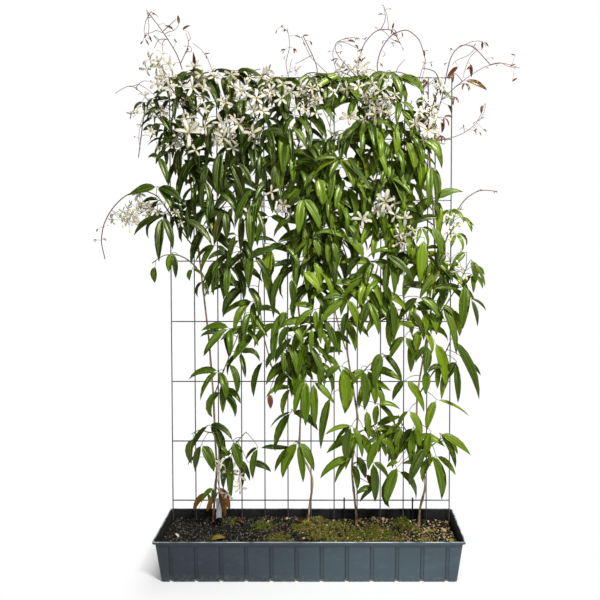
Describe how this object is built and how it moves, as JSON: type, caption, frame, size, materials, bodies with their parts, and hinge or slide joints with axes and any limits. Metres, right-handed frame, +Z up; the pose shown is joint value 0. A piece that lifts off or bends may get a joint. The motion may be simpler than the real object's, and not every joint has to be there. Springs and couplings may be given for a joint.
{
  "type": "clematis plant on trellis",
  "caption": "Evergreen climbing plant with white star flowers, trained on a wire grid trellis that stands in a long trough of soil.",
  "frame": {"origin": "centre of the trough's flat underside", "axes": "+X to the right along the trough, +Y to the back, where the trellis stands, +Z up"},
  "size_m": [1.3972, 0.2942, 1.8764],
  "materials": {
    "trough_plastic": "satin anthracite, with dusty grooves",
    "soil": "crumbly compost with moss, grit and bark crumbs",
    "wire": "dull galvanised",
    "clip_plastic": "moulded black",
    "label_plastic": "blank white",
    "stem_bark": "fibrous tan bark",
    "leaf": "waxy evergreen leaves on green and reddish stalks",
    "flower": "soft white petals with cream stamens"
  },
  "bodies": {
    "root": {"trough": "trough_plastic", "soil": "soil", "trellis": "wire", "trellis_clip_1": "clip_plastic", "trellis_clip_2": "clip_plastic", "trellis_clip_3": "clip_plastic", "plant_label": "label_plastic", "stem_1": "stem_bark", "stem_2": "stem_bark", "stem_3": "stem_bark", "stem_4": "stem_bark", "spray_01": "flower", "spray_02": "flower", "spray_03": "flower", "spray_04": "flower", "spray_05": "flower", "spray_06": "flower", "spray_07": "flower", "spray_08": "flower", "spray_09": "flower", "spray_10": "flower", "spray_11": "flower", "spray_12": "flower", "spray_13": "flower", "spray_14": "flower", "shoot_1w": "leaf", "shoot_1a": "leaf", "shoot_1c": "leaf", "shoot_1e": "leaf", "shoot_1k": "leaf", "shoot_1f": "leaf", "shoot_1g": "leaf", "shoot_1h": "leaf", "shoot_1i": "leaf", "shoot_1j": "leaf", "shoot_2a": "leaf", "shoot_2b": "leaf", "shoot_2c": "leaf", "shoot_2d": "leaf", "shoot_2e": "leaf", "shoot_2f": "leaf", "shoot_2g": "leaf", "shoot_3a": "leaf", "shoot_3b": "leaf", "shoot_3d": "leaf", "shoot_3e": "leaf", "shoot_3f": "leaf", "shoot_3g": "leaf", "shoot_3h": "leaf", "shoot_3i": "leaf", "shoot_4a": "leaf", "shoot_4b": "leaf", "shoot_4c": "leaf", "shoot_4d": "leaf", "shoot_4e": "leaf", "shoot_4f": "leaf", "shoot_4g": "leaf", "shoot_4h": "leaf", "shoot_4i": "leaf", "shoot_4j": "leaf"}
  },
  "joints": []
}
